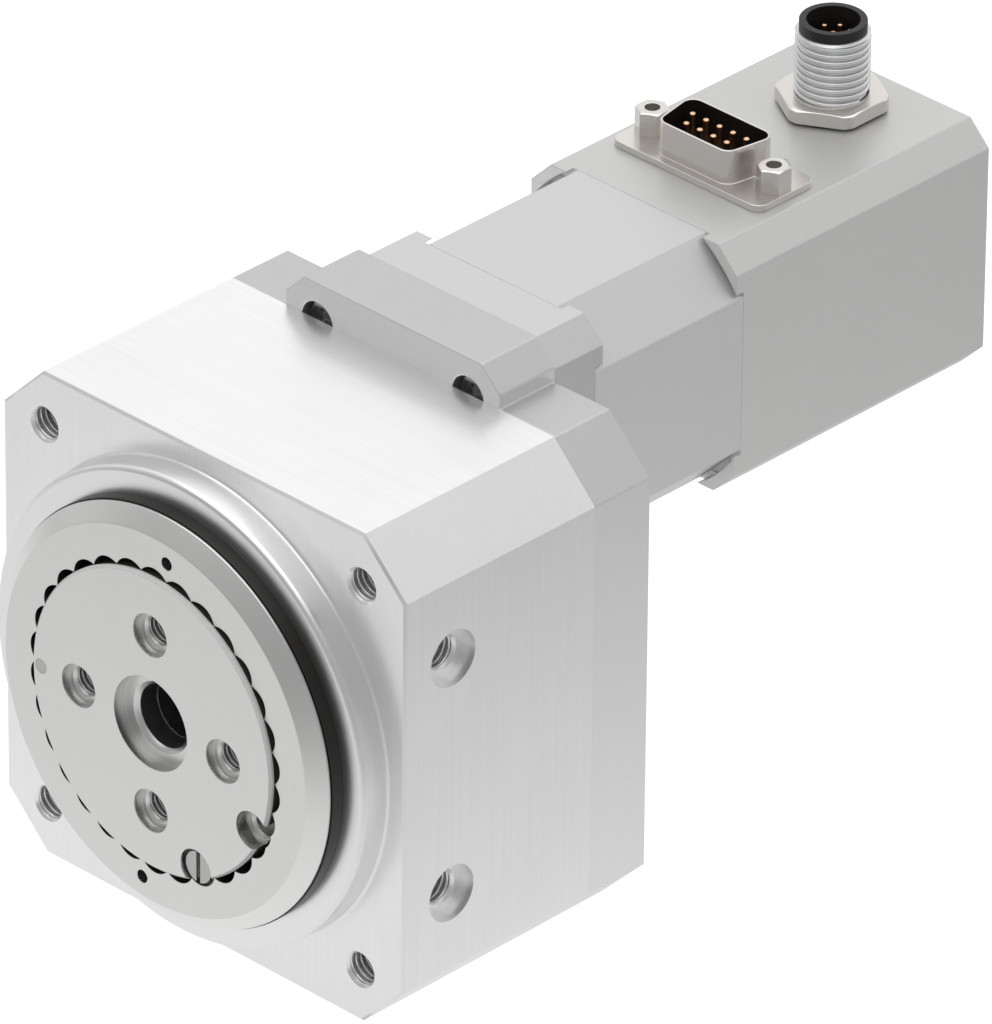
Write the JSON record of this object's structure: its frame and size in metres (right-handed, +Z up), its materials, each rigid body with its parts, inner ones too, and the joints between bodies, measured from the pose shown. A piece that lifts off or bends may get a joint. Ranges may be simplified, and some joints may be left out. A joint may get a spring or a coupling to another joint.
{
  "type": "semi-rotary actuator",
  "caption": "Semi-rotary actuator: square block housing with a round output flange and index disc, driven through a spur gear by a square stepping motor with connectors on its end cap.",
  "frame": {"origin": "on the output axis, in the plane of the front mounting face of the housing", "axes": "+Y along the output and motor axes, from the output flange back towards the motor; +Z up towards the motor axis and the connectors; +X to the right, seen from the front"},
  "size_m": [0.083, 0.1571, 0.1031],
  "materials": {
    "front_block": "fine machined, clear anodised",
    "gray_casting": "light gray satin coat",
    "flange_steel": "ground and plated",
    "index_steel": "satin ground",
    "pin_steel": "turned",
    "seal_rubber": "matt black",
    "screw_steel": "zinc plated",
    "bearing_steel": "polished",
    "cage_brass": "pressed",
    "gear_steel": "hobbed",
    "motor_casting": "light gray satin coat",
    "stator_steel": "light gray coated laminations",
    "coil_copper": "enamelled copper wire",
    "magnet": "dark nickel",
    "shaft_steel": "ground",
    "cap_casting": "light gray satin coat",
    "board_green": "solder mask",
    "reader_black": "moulded",
    "encoder_code": "printed",
    "connector_nickel": "nickel plated",
    "insulator_black": "moulded",
    "pin_gold": "gold plated"
  },
  "bodies": {
    "housing": {"front_housing": "front_block", "rear_cover": "gray_casting", "rim_seal": "seal_rubber", "front_hub_bearing_outer": "bearing_steel", "rear_hub_bearing_outer": "bearing_steel", "cover_screws": "screw_steel", "alignment_dowels": "pin_steel", "motor_mount_screws": "screw_steel", "motor_front_bell": "motor_casting", "stator_core": "stator_steel", "stator_coils": "coil_copper", "rear_bearing_plate": "motor_casting", "motor_tie_screws": "screw_steel", "end_cap": "cap_casting", "end_cap_screws": "screw_steel", "front_motor_bearing_outer": "bearing_steel", "rear_motor_bearing_outer": "bearing_steel", "preload_washer": "screw_steel", "encoder_board": "board_green", "encoder_reader": "reader_black", "encoder_standoffs": "cage_brass", "signal_connector_shell": "connector_nickel", "signal_connector_insulator": "insulator_black", "signal_connector_pins": "pin_gold", "signal_connector_screwlocks": "connector_nickel", "power_connector_body": "connector_nickel", "power_connector_insert": "insulator_black", "power_connector_pins": "pin_gold", "power_connector_nut": "connector_nickel", "power_connector_gasket": "seal_rubber"},
    "output": {"rotary_flange": "flange_steel", "index_disc": "index_steel", "lock_pin": "pin_steel", "mark_pin": "pin_steel", "disc_screws": "screw_steel", "front_hub_bearing_inner": "bearing_steel", "rear_hub_bearing_inner": "bearing_steel", "output_gear": "gear_steel", "gear_screws": "screw_steel"},
    "rotor": {"motor_shaft": "shaft_steel", "rotor_front_stack": "stator_steel", "rotor_magnet": "magnet", "rotor_rear_stack": "stator_steel", "pinion": "gear_steel", "front_motor_bearing_inner": "bearing_steel", "rear_motor_bearing_inner": "bearing_steel", "encoder_hub": "cage_brass", "encoder_disc": "encoder_code"},
    "front_hub_ball_set": {"front_hub_balls": "bearing_steel", "front_hub_cage": "cage_brass"},
    "rear_hub_ball_set": {"rear_hub_balls": "bearing_steel", "rear_hub_cage": "cage_brass"},
    "front_motor_ball_set": {"front_motor_balls": "bearing_steel", "front_motor_cage": "cage_brass"},
    "rear_motor_ball_set": {"rear_motor_balls": "bearing_steel", "rear_motor_cage": "cage_brass"}
  },
  "joints": [
    {"name": "output_spin", "type": "hinge", "parent": "housing", "child": "output", "pos_m": [0, 0, 0], "axis": [0, 1, 0], "continuous": true},
    {"name": "rotor_spin", "type": "hinge", "parent": "housing", "child": "rotor", "pos_m": [0, 0, 0.0256], "axis": [0, 1, 0], "continuous": true},
    {"name": "front_hub_balls_spin", "type": "hinge", "parent": "housing", "child": "front_hub_ball_set", "pos_m": [0, 0, 0], "axis": [0, 1, 0], "continuous": true},
    {"name": "rear_hub_balls_spin", "type": "hinge", "parent": "housing", "child": "rear_hub_ball_set", "pos_m": [0, 0, 0], "axis": [0, 1, 0], "continuous": true},
    {"name": "front_motor_balls_spin", "type": "hinge", "parent": "housing", "child": "front_motor_ball_set", "pos_m": [0, 0, 0.0256], "axis": [0, 1, 0], "continuous": true},
    {"name": "rear_motor_balls_spin", "type": "hinge", "parent": "housing", "child": "rear_motor_ball_set", "pos_m": [0, 0, 0.0256], "axis": [0, 1, 0], "continuous": true}
  ],
  "couplings": [
    {"joint": "rotor_spin", "follows": "output_spin", "ratio": -4.3333},
    {"joint": "front_hub_balls_spin", "follows": "output_spin", "ratio": 0.45652},
    {"joint": "rear_hub_balls_spin", "follows": "output_spin", "ratio": 0.45652},
    {"joint": "front_motor_balls_spin", "follows": "output_spin", "ratio": -1.5476},
    {"joint": "rear_motor_balls_spin", "follows": "output_spin", "ratio": -1.5476}
  ]
}
